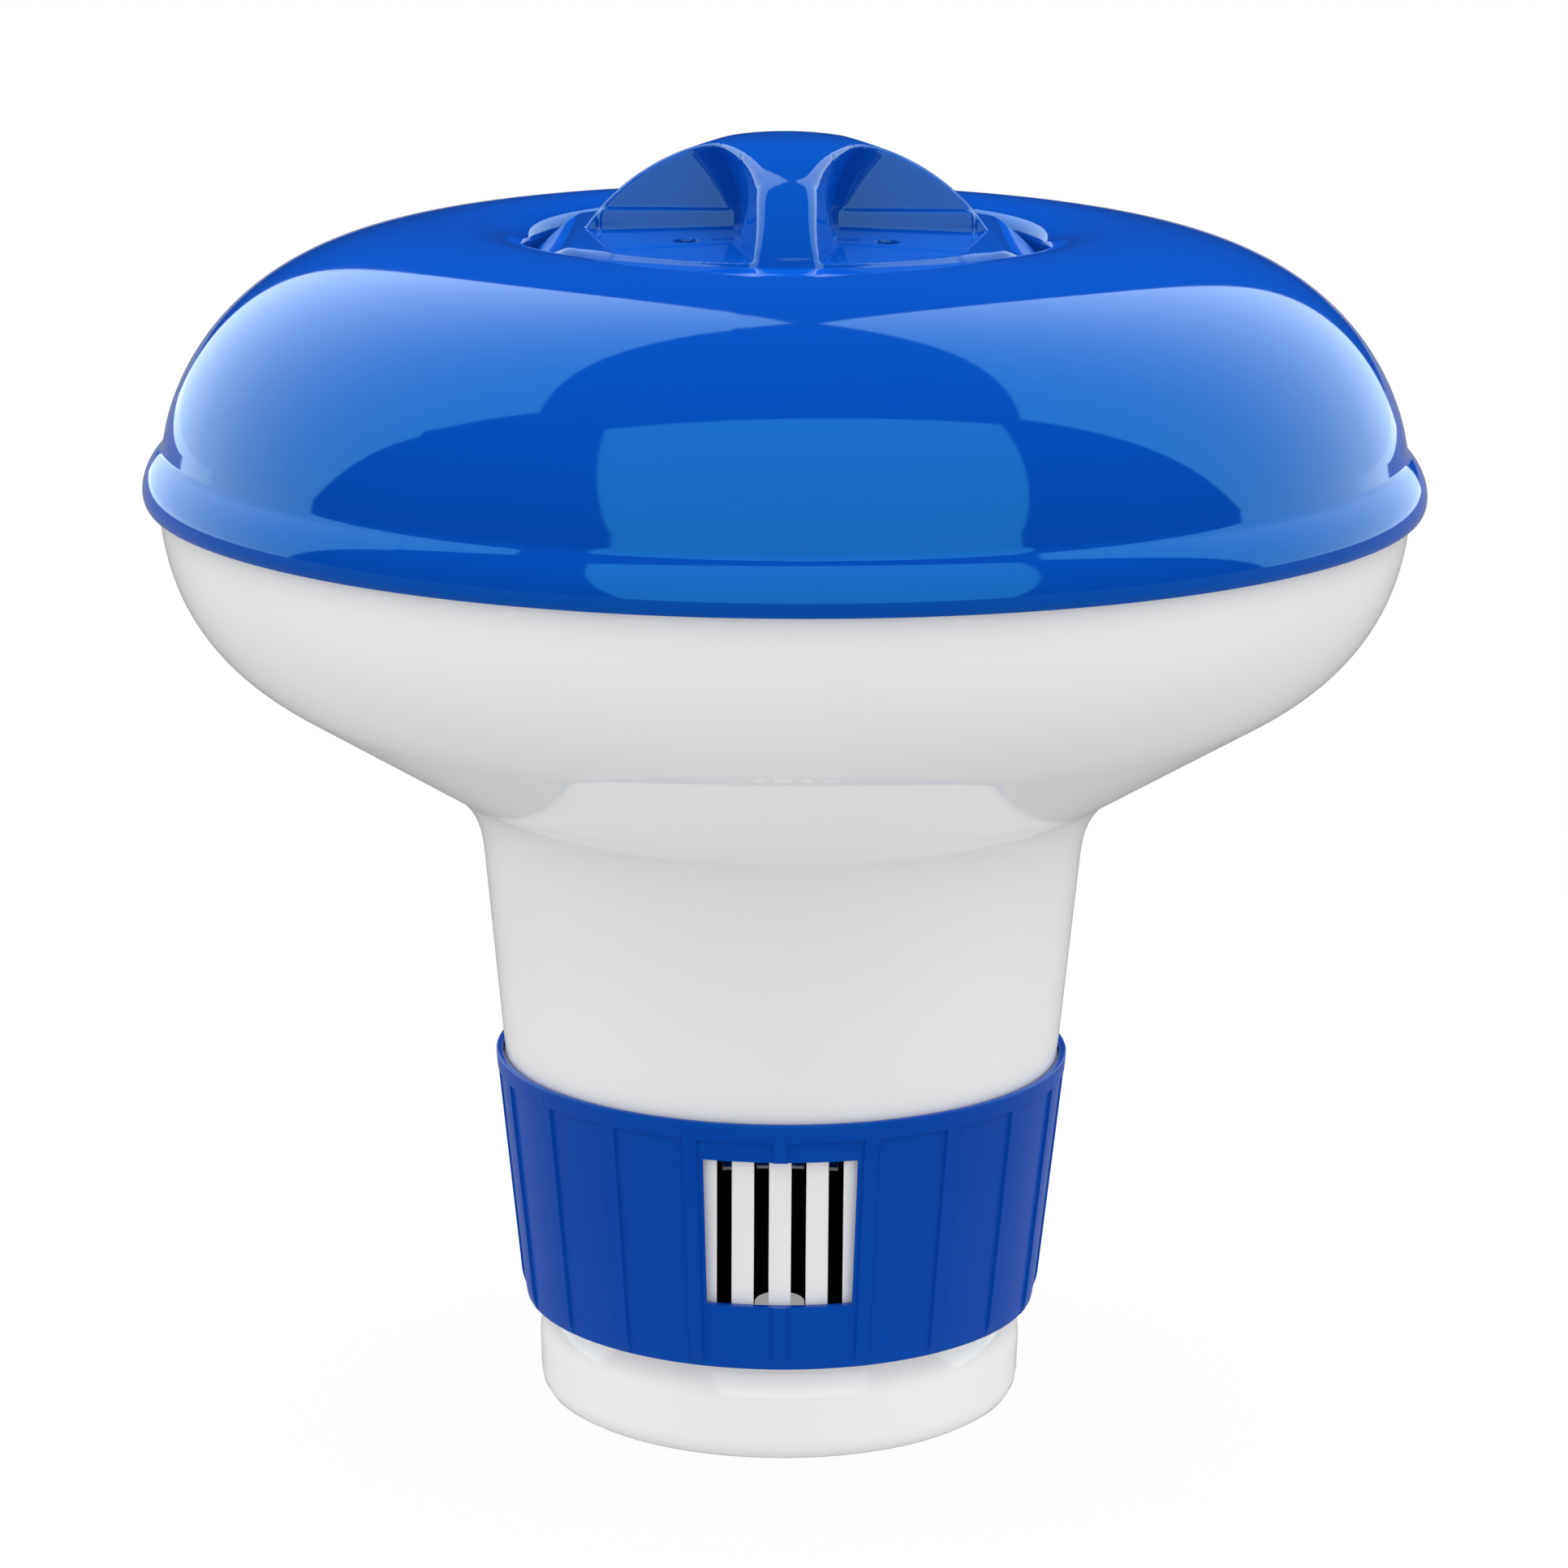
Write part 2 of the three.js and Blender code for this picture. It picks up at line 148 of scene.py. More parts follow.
def clean(obj):
    """Joins what meets on the axis, turns the faces outwards and shades them smooth."""
    made = bmesh.new()
    made.from_mesh(obj.data)
    bmesh.ops.remove_doubles(made, verts=made.verts, dist=SAME_VERTEX)
    bmesh.ops.recalc_face_normals(made, faces=made.faces)
    made.to_mesh(obj.data)
    made.free()
    obj.data.shade_smooth()
    obj.data.set_sharp_from_angle(angle=math.radians(SHARP_DEG))


def even_columns(count=SIDES):
    return np.radians(np.arange(count) * 360 / count)


def revolve(name, outline_at, columns=None, closed=True, azimuth=None, windows=()):
    """A turned piece. outline_at(column) gives a column's outline, always with the same number of points.
    Azimuth 0 faces -Y and grows towards +X; azimuth(column, radius, height), where given, lets a column
    lean. A window is (first column, last column, outer points, inner points): the skins are open between
    those columns and walls join the two skins; outer and inner points are listed from low to high."""
    columns = even_columns() if columns is None else columns
    outlines = [outline_at(c) for c in columns]
    count, points = len(columns), len(outlines[0])
    vertices = []
    for column, outline in zip(columns, outlines):
        for r, z in outline:
            angle = azimuth(column, r, z) if azimuth else column
            vertices.append((r * math.sin(angle), -r * math.cos(angle), z))
    at = lambda c, p: (c % count) * points + p % points
    open_cells = set()
    faces = []
    for first, last, outer, inner in windows:
        for skin in (outer, inner):
            for p in skin[:-1]:
                cell = p if skin[0] < skin[-1] else p - 1
                open_cells |= {(c % count, cell) for c in range(first, last)}
        for a, b, c, d in zip(outer, outer[1:], inner, inner[1:]):
            faces.append((at(first, a), at(first, b), at(first, d), at(first, c)))
            faces.append((at(last, a), at(last, b), at(last, d), at(last, c)))
        for c in range(first, last):
            for o, i in ((outer[0], inner[0]), (outer[-1], inner[-1])):
                faces.append((at(c, o), at(c + 1, o), at(c + 1, i), at(c, i)))
    for c in range(count):
        for p in range(points if closed else points - 1):
            if (c, p) not in open_cells:
                faces.append((at(c, p), at(c + 1, p), at(c + 1, p + 1), at(c, p + 1)))
    obj = add_object(name, vertices, faces)
    clean(obj)
    return obj


def soften(obj, width, segments=3):
    """Small round edges where two faces meet sharply."""
    bevel = obj.modifiers.new("edges", "BEVEL")
    bevel.limit_method = "ANGLE"
    bevel.angle_limit = math.radians(BEVEL_DEG)
    bevel.width = width * MM
    bevel.segments = segments
    bevel.harden_normals = True


def even_shading(obj):
    """Flat stretches shade flat, and the fillets carry the turn."""
    normals = obj.modifiers.new("normals", "WEIGHTED_NORMAL")
    normals.keep_sharp = True
    normals.weight = 60


def finish_piece(obj, body, material, node):
    """Gives a piece its material, hangs it on the body it rides on and hides the CAD node it stands for.
    """
    obj.data.materials.clear()
    obj.data.materials.append(material)
    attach(obj, body)
    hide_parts(node)


# ---------- Float: upper shell ----------
LEDGE_LOW, LEDGE_HIGH, LEDGE_R = 180.0, 182.5, 38.7
ENTRIES = 3
ENTRY_R, ENTRY_HALF_DEG, ENTRY_FIRST_DEG, ENTRY_EDGE_DEG = 40.75, 14.0, 100.0, 0.25
WELL_R = 41.3
MOUTH_R, MOUTH_LOW = 42.2, 166.0
LAP_R, LAP_HIGH = RIM_R + 0.35, SEAM_Z + 5
FLANGE_FOOT, CREASE, ABOVE_CREASE = (100.86, SEAM_Z), (98.35, SEAM_Z + 8.2), (98.2, SEAM_Z + 8.9)
FLANGE_PULLS = (102.12, SEAM_Z + 1.35), (101.45, SEAM_Z + 5.5)
DOME_FOOT, DOME_CREST = (97.8, SEAM_Z + 11), (58.3, 191.1)
DOME_PULLS = (96.94, 164.3), (90.9, 187.2)
LIP_END, LIP_PULLS = (WELL_R, 187.4), ((52.6, 191.72), (WELL_R, 192.2))


def dome(steps):
    return bezier(DOME_FOOT, *DOME_PULLS, DOME_CREST, steps)


def upper_outline(ledge_r):
    flange = bezier(FLANGE_FOOT, *FLANGE_PULLS, CREASE, 32)[1:-2]
    crease = bend(flange[-1], CREASE, ABOVE_CREASE)[1:]
    lip = bezier(DOME_CREST, *LIP_PULLS, LIP_END, 20)[1:]
    inside = offset(dome(24), -WALL)[::-1]
    return rounded([
        (LAP_R, SEAM_Z, 0.25),
        (*FLANGE_FOOT, 0.3),
        *flange, *crease, *dome(64), *lip,
        (WELL_R, LEDGE_HIGH, 0.5),
        (ledge_r, LEDGE_HIGH, 0.5),
        (ledge_r, LEDGE_LOW, 0.5),
        (MOUTH_R, LEDGE_LOW, 0.3),
        (MOUTH_R, MOUTH_LOW, 0.5),
        (MOUTH_R + WALL, MOUTH_LOW, 0.5),
        (MOUTH_R + WALL, DOME_CREST[1] - WALL, 0.8),
        *inside,
        (RIM_R - WALL, LAP_HIGH, 0.3),
        (LAP_R, LAP_HIGH, 0.2),
    ])


def build_upper_shell():
    """The dome with its flange, the lid's well and the bayonet ledge with three entry notches."""
    pitch = 360 / ENTRIES
    middles = [ENTRY_FIRST_DEG + pitch * i for i in range(ENTRIES)]
    edges = [middle + side * ENTRY_HALF_DEG for middle in middles for side in (-1, 1)]
    beside = (-ENTRY_EDGE_DEG, ENTRY_EDGE_DEG)
    edge_columns = [math.radians(edge + d) % math.tau for edge in edges for d in beside]
    columns = np.unique(np.round(np.concatenate([even_columns(), edge_columns]), 6))
    plain, notched = upper_outline(LEDGE_R), upper_outline(ENTRY_R)

    def outline_at(column):
        from_middle = (math.degrees(column) - ENTRY_FIRST_DEG + pitch / 2) % pitch - pitch / 2
        return notched if abs(from_middle) < ENTRY_HALF_DEG else plain

    return revolve("upper_shell", outline_at, columns)


# ---------- Float: lower shell with its slotted cage ----------
BOWL_END, THROAT, NECK_TOP = (81.1, 119.0), (49.2, 99.8), (48.0, 90.5)
BOWL_PULLS = (98.3, 135.5), (92.4, 125.8)
THROAT_ROUND = 7.2  # how far from its corner the throat's round begins
CAGE_LOW, CAGE_HIGH = (39.9, collar.low), (44.9, collar.high)
BEAD, BEAD_Z, BEAD_LOW, BEAD_HIGH = 0.5, 56.4, 56.2, 56.8
SPIGOT_R, SPIGOT_LOW = 36.5, lower.low
SPIGOT_BORE = SPIGOT_R - WALL
SEAL_R, SEAL_LOW, SEAL_HIGH = SPIGOT_R - 1, SPIGOT_LOW + 3.5, SPIGOT_LOW + 6
SCREW_HOLE_R = 2.4
STEP_Z, FLOOR_LOW, FLOOR_HIGH = 21.0, 10.0, 12.0
SHELF_R, SHELF_LOW, SHELF_HIGH = 41.5, 90.5, 92.5
SLOT_X, SLOT_HALF, SLOT_LOW, SLOT_HIGH = (-8.7, -2.9, 2.9, 8.7), 1.15, 24.5, 53.5
SLOT_SIDE = 2.0  # a further column stands this far to each side of a slot's middle
SLOT_FIELD = 13.0  # the columns stand parallel to the slots out to here
SIDE_COLUMNS = 80  # between the two slotted fields


def cage_radius(z):
    return float(np.interp(z, (CAGE_LOW[1], CAGE_HIGH[1]), (CAGE_LOW[0], CAGE_HIGH[0])))


def bowl_outline(steps):
    bowl = bezier((RIM_R, SEAM_Z), *BOWL_PULLS, BOWL_END, steps)
    down_cone = Vector(THROAT) - Vector(BOWL_END)
    down_neck = Vector(NECK_TOP) - Vector(THROAT)
    on_cone = Vector(THROAT) - down_cone.normalized() * THROAT_ROUND
    on_neck = Vector(THROAT) + down_neck.normalized() * THROAT_ROUND
    return [(RIM_R, lower.high), *bowl, *bend(on_cone, THROAT, on_neck, 10), NECK_TOP]


def slot_levels():
    return levels(SLOT_LOW, SLOT_HIGH, 2.0)


def lower_outline():
    bead_r = cage_radius(BEAD_Z) + BEAD
    slotted = [(cage_radius(z), z) for z in slot_levels()]
    outside = [
        *bowl_outline(40),
        CAGE_HIGH,
        (cage_radius(BEAD_HIGH + BEAD), BEAD_HIGH + BEAD),
        (bead_r, BEAD_HIGH, 0.2),
        (bead_r, BEAD_LOW, 0.2),
        (cage_radius(BEAD_LOW - BEAD), BEAD_LOW - BEAD),
        *slotted[::-1],
        (*CAGE_LOW, 0.3),
        (SPIGOT_R, CAGE_LOW[1], 0.3),
        (SPIGOT_R, SEAL_HIGH, 0.2),
        (SEAL_R, SEAL_HIGH, 0.2),
        (SEAL_R, SEAL_LOW, 0.2),
        (SPIGOT_R, SEAL_LOW, 0.2),
        (SPIGOT_R, SPIGOT_LOW, 0.4),
    ]
    bowl_inside = [p for p in offset(bowl_outline(14), WALL) if p[1] > SHELF_HIGH + 1][::-1]
    inside = [
        (SPIGOT_BORE, SPIGOT_LOW, 0.4),
        (SPIGOT_BORE, FLOOR_LOW, 0.4),
        (SCREW_HOLE_R, FLOOR_LOW, 0.2),
        (SCREW_HOLE_R, FLOOR_HIGH, 0.3),
        (SPIGOT_BORE, FLOOR_HIGH, 0.8),
        (SPIGOT_BORE, STEP_Z, 0.4),
        (cage_radius(STEP_Z) - WALL, STEP_Z, 0.3),
        *[(r - WALL, z) for r, z in slotted],
        (CAGE_HIGH[0] - WALL, CAGE_HIGH[1]),
        (NECK_TOP[0] - WALL, SHELF_LOW, 0.5),
        (SHELF_R, SHELF_LOW, 0.4),
        (SHELF_R, SHELF_HIGH, 0.4),
        (NECK_TOP[0] - WALL, SHELF_HIGH, 0.4),
        *bowl_inside,
    ]
    return rounded(outside + inside)


def find_points(outline, heights, inner):
    """Where an outline passes the heights, on its outer or its inner skin."""
    found = []
    for z in heights:
        hits = [i for i, p in enumerate(outline) if abs(p[1] - z) < SAME_PLACE]
        pick = min if inner else max
        found.append(pick(hits, key=lambda i: outline[i][0]))
    return found


def slot_columns():
    """Columns for both slotted sides: (side, x) near the slots and (None, angle) elsewhere."""
    offsets = (-SLOT_SIDE, -SLOT_HALF, 0.0, SLOT_HALF, SLOT_SIDE)
    near = sorted({round(x + d, 3) for x in SLOT_X for d in offsets})
    near = [-SLOT_FIELD] + near + [SLOT_FIELD]
    edge = math.degrees(math.asin(SLOT_FIELD / cage_radius(SLOT_LOW)))
    between = np.radians(np.linspace(edge, 180 - edge, SIDE_COLUMNS)[1:-1])
    front = [(0.0, x) for x in near]
    right = [(None, a) for a in between]
    back = [(math.pi, x) for x in near]
    left = [(None, a + math.pi) for a in between]
    return front + right + back + left


def slot_azimuth(column, radius, z):
    """Near the slots a column stands at one x on the cage's wall, and at one angle off the wall."""
    side, value = column
    if side is None:
        return value
    in_wall = cage_radius(STEP_Z) - WALL - 0.2 <= radius <= CAGE_HIGH[0] + 0.6
    return side + math.asin(value / (radius if in_wall else cage_radius(SLOT_LOW)))


def build_lower_shell():
    outline = lower_outline()
    columns = slot_columns()
    outer = find_points(outline, slot_levels(), inner=False)
    inner = find_points(outline, slot_levels(), inner=True)
    windows = []
    for side in (0.0, math.pi):
        for x in SLOT_X:
            first = columns.index((side, round(x - SLOT_HALF, 3)))
            last = columns.index((side, round(x + SLOT_HALF, 3)))
            windows.append((first, last, outer, inner))
    return revolve("lower_shell", lambda column: outline, columns, azimuth=slot_azimuth, windows=windows)


# ---------- Flow collar ----------
SHOULDER_Z, FOOT_R, SHOULDER_R, RIB_TOP_R = collar.low + 2.3, 41.5, 42.3, collar.radius + 0.04
PANELS, PANEL_HALF_DEG, PANEL_DEPTH, PANEL_TOP = 20, 7.5, 0.45, 55.0
PANEL_COLUMN_DEG = 3.5  # a column stands this far to each side of a panel's middle
WINDOW_HALF_DEG, WINDOW_LOW, WINDOW_HIGH = 15.4, 27.3, 51.75
COLLAR_GAP = 0.4
GROOVE_LOW, GROOVE_HIGH = 55.7, 57.0  # room for the cage's bead
COLLAR_WALL = 0.8  # the least, so that what is nearer the axis belongs to the inner skin
EDGE_DEG, EDGE_Z = 0.14, 0.14  # half widths of a panel's soft edge


def smooth_step(value, low, high):
    t = np.clip((value - low) / (high - low), 0, 1)
    return float(t * t * (3 - 2 * t))


def collar_radius(z):
    """The collar's radius on a rib, above its shoulder."""
    return float(np.interp(z, (SHOULDER_Z, collar.high), (SHOULDER_R, RIB_TOP_R)))


def collar_bore(z):
    return cage_radius(z) + COLLAR_GAP


def panel_cut(degrees, z):
    """How deep the face is cut at a place: full depth on a panel, none on a rib or on the top band."""
    half_pitch = 180 / PANELS
    from_middle = abs(degrees % (2 * half_pitch) - half_pitch)
    across = 1 - smooth_step(from_middle, PANEL_HALF_DEG - EDGE_DEG, PANEL_HALF_DEG + EDGE_DEG)
    up = 1 - smooth_step(z, PANEL_TOP - EDGE_Z, PANEL_TOP + EDGE_Z)
    return PANEL_DEPTH * across * up


def window_levels():
    return levels(WINDOW_LOW, WINDOW_HIGH, 2.4)


def collar_outline(column):
    degrees = math.degrees(column)
    heights = [22.0, 25.0, *window_levels(), 53.4]
    heights += [PANEL_TOP + d * EDGE_Z for d in (-1, -0.5, 0, 0.5, 1)]
    face = [(collar_radius(z) - panel_cut(degrees, z), z) for z in heights]
    groove = collar_bore(BEAD_Z) + BEAD
    return rounded([
        (collar_bore(collar.low), collar.low, 0.2),
        (FOOT_R, collar.low, 0.35),
        (SHOULDER_R - panel_cut(degrees, SHOULDER_Z), SHOULDER_Z, 1.0),
        *face,
        (collar.radius, collar.high, 0.45),
        (collar_bore(collar.high), collar.high, 0.25),
        (collar_bore(GROOVE_HIGH + 0.5), GROOVE_HIGH + 0.5),
        (groove, GROOVE_HIGH, 0.15),
        (groove, GROOVE_LOW, 0.15),
        (collar_bore(GROOVE_LOW - 0.3), GROOVE_LOW - 0.3),
        *[(collar_bore(z), z) for z in window_levels()[::-1]],
        (collar_bore(24.0), 24.0),
    ])


def window_azimuth(column, radius, z):
    """The windows' side walls stand parallel to Y, so that their inner edges don't close the view."""
    for middle in (0, math.pi, 2 * math.pi):
        side = column - middle
        at_wall = abs(abs(side) - math.radians(WINDOW_HALF_DEG)) < SAME_PLACE
        if at_wall and radius < collar_radius(z) - COLLAR_WALL:
            return middle + math.asin(collar_radius(z) * math.sin(side) / radius)
    return column


def build_collar():
    """The ribbed collar, with more columns at the panels' edges and one at each side of each window."""
    pitch = 360 / PANELS
    near_edge = (-1, -0.6, -0.2, 0.2, 0.6, 1)
    degrees = {WINDOW_HALF_DEG, 360 - WINDOW_HALF_DEG, 180 - WINDOW_HALF_DEG, 180 + WINDOW_HALF_DEG}
    for i in range(PANELS):
        middle = pitch * (i + 0.5)
        for side in (-1, 1):
            degrees |= {round(middle + side * (PANEL_HALF_DEG + d * EDGE_DEG), 4) for d in near_edge}
        degrees |= {middle, middle - PANEL_COLUMN_DEG, middle + PANEL_COLUMN_DEG, pitch * i}
    degrees = np.array(sorted(d % 360 for d in degrees))
    outline = collar_outline(math.radians(pitch / 2))
    outer = find_points(outline, window_levels(), inner=False)
    inner = find_points(outline, window_levels(), inner=True)
    find = lambda d: int(np.argmin(abs(degrees - d % 360)))
    count = len(degrees)
    windows = [
        (find(-WINDOW_HALF_DEG), find(WINDOW_HALF_DEG) + count, outer, inner),
        (find(180 - WINDOW_HALF_DEG), find(180 + WINDOW_HALF_DEG), outer, inner),
    ]
    columns = np.radians(degrees)
    return revolve("flow_collar_ribbed", collar_outline, columns, azimuth=window_azimuth, windows=windows)


# ---------- Foot, sleeve, seals and fittings ----------
FOOT_WALL_R, FOOT_BORE, FOOT_FLOOR, FOOT_RECESS_R, FOOT_RECESS = 39.4, SPIGOT_R + 0.35, 2.2, 29.6, 0.8
BOSS_R, BOSS_HIGH, BOSS_FLOOR = 5.5, 9.6, FOOT_FLOOR + 0.8
SLEEVE_INNER, SLEEVE_OUTER, SLEEVE_BEAD = 38.9, 40.4, 1.2
SEAL_SEAT_LOW, SEAL_SEAT_HIGH = 169.1, 172.0
SCREW_R, SCREW_HEAD_LOW = 2.05, 13.0


def foot_outline():
    return rounded([
        (0, FOOT_RECESS),
        (FOOT_RECESS_R, FOOT_RECESS, 0.5),
        (FOOT_RECESS_R + 1, 0, 0.4),
        (FOOT_WALL_R - 0.4, 0, 3.6),
        (FOOT_WALL_R, 10.5, 2.0),
        (FOOT_WALL_R - 0.9, 13.6, 1.6),
        (FOOT_BORE + 0.5, foot.high, 0.5),
        (FOOT_BORE, foot.high - 0.3, 0.2),
        (FOOT_BORE, FOOT_FLOOR, 0.8),
        (BOSS_R, FOOT_FLOOR, 0.5),
        (BOSS_R, BOSS_HIGH, 0.4),
        (SCREW_HOLE_R, BOSS_HIGH, 0.2),
        (SCREW_HOLE_R, BOSS_FLOOR, 0.2),
        (0, BOSS_FLOOR),
    ], closed=False)


def sleeve_outline():
    bead_r = SLEEVE_OUTER + SLEEVE_BEAD
    return rounded([
        (SLEEVE_INNER, sleeve.low, 0.4),
        (sleeve.radius, sleeve.low, 0.4),
        (sleeve.radius, sleeve.low + WALL, 0.4),
        (SLEEVE_OUTER, sleeve.low + WALL, 0.8),
        (SLEEVE_OUTER, 167.5),
        (bead_r, SEAL_SEAT_LOW - 0.2, 0.3),
        (SLEEVE_OUTER, SEAL_SEAT_LOW, 0.1),
        (SLEEVE_OUTER, SEAL_SEAT_HIGH),
        (bead_r, SEAL_SEAT_HIGH + 0.1, 0.3),
        (SLEEVE_OUTER, sleeve.high, 0.2),
        (SLEEVE_INNER, sleeve.high, 0.5),
    ])


def screw_outline():
    return rounded([
        (0, screw.low),
        (1.2, screw.low, 0.3),
        (SCREW_R, screw.low + 1.2, 0.2),
        (SCREW_R, SCREW_HEAD_LOW, 0.2),
        (screw.radius, SCREW_HEAD_LOW, 0.2),
        (screw.radius, SCREW_HEAD_LOW + 1, 0.35),
        (screw.radius - 0.8, screw.high, 0.5),
        (0, screw.high),
    ], closed=False)


def box_ring(node, inner, fillet):
    return rounded([
        (inner, node.low, fillet),
        (node.radius, node.low, fillet),
        (node.radius, node.high, fillet),
        (inner, node.high, fillet),
    ])


def round_ring(node, inner):
    """An O-ring's section: an oval that fills the node's box."""
    middle_r, middle_z = (node.radius + inner) / 2, (node.low + node.high) / 2
    half_r, half_z = (node.radius - inner) / 2, (node.high - node.low) / 2
    turn = even_columns(16)
    return [(middle_r + half_r * math.cos(a), middle_z + half_z * math.sin(a)) for a in turn]


# ---------- Lid: a solid drawn as a distance field, then skinned ----------
LID_CREST, LID_TOP, LID_UNDER = lid.high, 192.0, 189.2
LID_EDGE_LOW = LID_UNDER - 3.8
CROWN_R, CROWN_DROP, POCKET_DROP = 39.0, 1.2, 1.35
SHOULDER_X, SHOULDER_FALL, SHOULDER_LENGTH = 31.3, 0.61, 1.17
POCKET_X, POCKET_SKEW, POCKET_LENGTH = 31.35, 0.183, 1.017  # lengths along a slope, to its width
GRIP_X, GRIP_Y, GRIP_FOOT = 32.1, 39.2, 190.2
GRIP_FLATTEN, GRIP_ROUND = 2.5, 0.85  # powers of the dome's profile
WEB_HALF, WEB_FOOT, WEB_FOOT_NEAR, WEB_FLARE = 3.75, 1.2, 2.4, 0.38
CROSS_HALF, CROSS_DRAFT, CROSS_END = 0.75, 1.15, 29.5
BEAD_WIDE, BEAD_RISE = 0.8, 2.4  # the bead along the foot of the cross wall
SKIRT_R, SKIRT_HALF, HOLLOW_R = 37.4, 0.8, 36.6
LUGS, LUG_FIRST_DEG, LUG_HALF, LUG_R, LUG_ROOT_R = 3, 60, 7.6, 40.1, 37.2
LUG_ARC_R = 39  # where a lug's width is measured
LUG_Z, LUG_HALF_HIGH = 178.1, 1.3
VENT_X, VENT_Y, VENT_R = 15.4, 15.0, 2.0
SLIT_X, SLIT_Y, SLIT_HALF_X, SLIT_HALF_Y = 9.2, 14.0, 2.1, 0.5
VOXEL = 0.4
SETTLE_ROUNDS, SETTLE_REACH, LEAST_STEEP, LONGEST_MOVE, NORMAL_REACH = 3, 0.02, 0.05, 0.3, 0.03


def smooth_min(a, b, radius):
    """Joins two solids with a fillet."""
    h = np.clip(0.5 + 0.5 * (b - a) / radius, 0, 1)
    return b + (a - b) * h - radius * h * (1 - h)


def smooth_max(a, b, radius):
    """What two solids share, with its edge rounded."""
    return -smooth_min(-a, -b, radius)


def shoulder_height(x):
    """The lid's two side shoulders fall away outside the grip's wall."""
    return LID_TOP + 0.15 - SHOULDER_FALL * (x - SHOULDER_X)


def disc_field(x, y, z, r):
    """The lid's disc, crowned, with falling side shoulders and finger pockets a little sunk."""
    crown = LID_TOP - CROWN_DROP * (r / CROWN_R) ** 2
    shoulder = (z - shoulder_height(x)) / SHOULDER_LENGTH
    top = smooth_max(z - crown, shoulder, 0.6)
    pocket_floor = LID_TOP - 0.15 - POCKET_DROP * r / CROWN_R
    pocket_end = (x + POCKET_SKEW * y - POCKET_X) / POCKET_LENGTH
    pocket = smooth_max(pocket_floor - z, pocket_end, 0.5)
    top = smooth_max(top, -pocket, 0.35)
    body = smooth_max(top, LID_EDGE_LOW - z, 0.8)
    fillet = np.interp(x, (29, 34), (3.0, 1.0))
    return smooth_max(body, r - lid.radius, fillet)


def grip_field(x, y, z):
    """A flattened dome cut by four drafted, round-cornered pockets."""
    share = np.sqrt((x / GRIP_X) ** 2 + (y / GRIP_Y) ** 2)
    rise = np.clip(1 - np.minimum(share, 1) ** GRIP_FLATTEN, 1e-6, 1) ** GRIP_ROUND
    height = GRIP_FOOT + (LID_CREST - GRIP_FOOT) * rise - 30 * np.maximum(share - 1, 0)
    slope = np.sqrt(1 + np.minimum(2.2, 1.4 * share ** 2.4) ** 2)
    dome_shape = (z - height) / slope
    up = np.clip((z - LID_TOP) / (LID_CREST - LID_TOP), 0, 1)
    far = np.clip((y - 20) / 17, 0, 1)
    near = 1 - far * far * (3 - 2 * far)
    flare = WEB_FLARE * np.clip(24.5 - y, 0, None) * up ** 1.5
    web = WEB_HALF + WEB_FOOT * (1 - up) ** 3 + WEB_FOOT_NEAR * near * (1 - up) + flare
    wall = CROSS_HALF + CROSS_DRAFT * (1 - up)
    corner = 3.0 + 3.0 * up
    pocket = smooth_min(x - web, y - wall, corner)
    bead = smooth_max(y - wall - BEAD_WIDE, z - LID_TOP - BEAD_RISE, 0.6)
    cross = smooth_min(pocket, smooth_max(bead, x - CROSS_END, 0.8), 0.5)
    edge = 0.7 + 0.6 * np.clip((y - 3) / 8, 0, 1)
    return smooth_max(smooth_max(dome_shape, cross, edge), LID_TOP - 2 - z, 0.2)


def skirt_field(x, z, r, azimuth):
    """The skirt under the disc with its three lugs."""
    ring = smooth_max(abs(r - SKIRT_R) - SKIRT_HALF, lid.low - z, 0.6)
    ring = np.maximum(ring, z - np.minimum(LID_TOP - 1.5, shoulder_height(x) - 1.0))
    pitch = math.tau / LUGS
    from_lug = (azimuth - math.radians(LUG_FIRST_DEG) + pitch / 2) % pitch - pitch / 2
    lug = smooth_max(abs(from_lug) * LUG_ARC_R - LUG_HALF, abs(z - LUG_Z) - LUG_HALF_HIGH, 0.6)
    lug = smooth_max(lug, r - LUG_R, 0.6)
    lug = np.maximum(lug, LUG_ROOT_R - r)
    return smooth_min(ring, lug, 0.4)


def hole_field(x, y):
    """Vent holes and slits through the pocket floors."""
    vent = np.hypot(x - VENT_X, y - VENT_Y) - VENT_R
    slit = np.maximum(abs(x - SLIT_X) - SLIT_HALF_X, abs(y - SLIT_Y) - SLIT_HALF_Y)
    return np.minimum(vent, slit)


def lid_field(points):
    """The whole lid: negative inside it. Its disc and grip are mirrored in both upright planes."""
    px, py, z = points[..., 0], points[..., 1], points[..., 2]
    x, y, r = abs(px), abs(py), np.hypot(px, py)
    disc = disc_field(x, y, z, r)
    hollow = smooth_max(r - HOLLOW_R, z - np.minimum(LID_UNDER, shoulder_height(x) - 2.6), 1.2)
    disc = smooth_max(disc, -hollow, 0.8)
    solid = smooth_min(disc, grip_field(x, y, z), 0.8)
    solid = smooth_min(solid, skirt_field(x, z, r, np.arctan2(px, -py)), 0.6)
    return smooth_max(solid, -hole_field(x, y), 0.35)


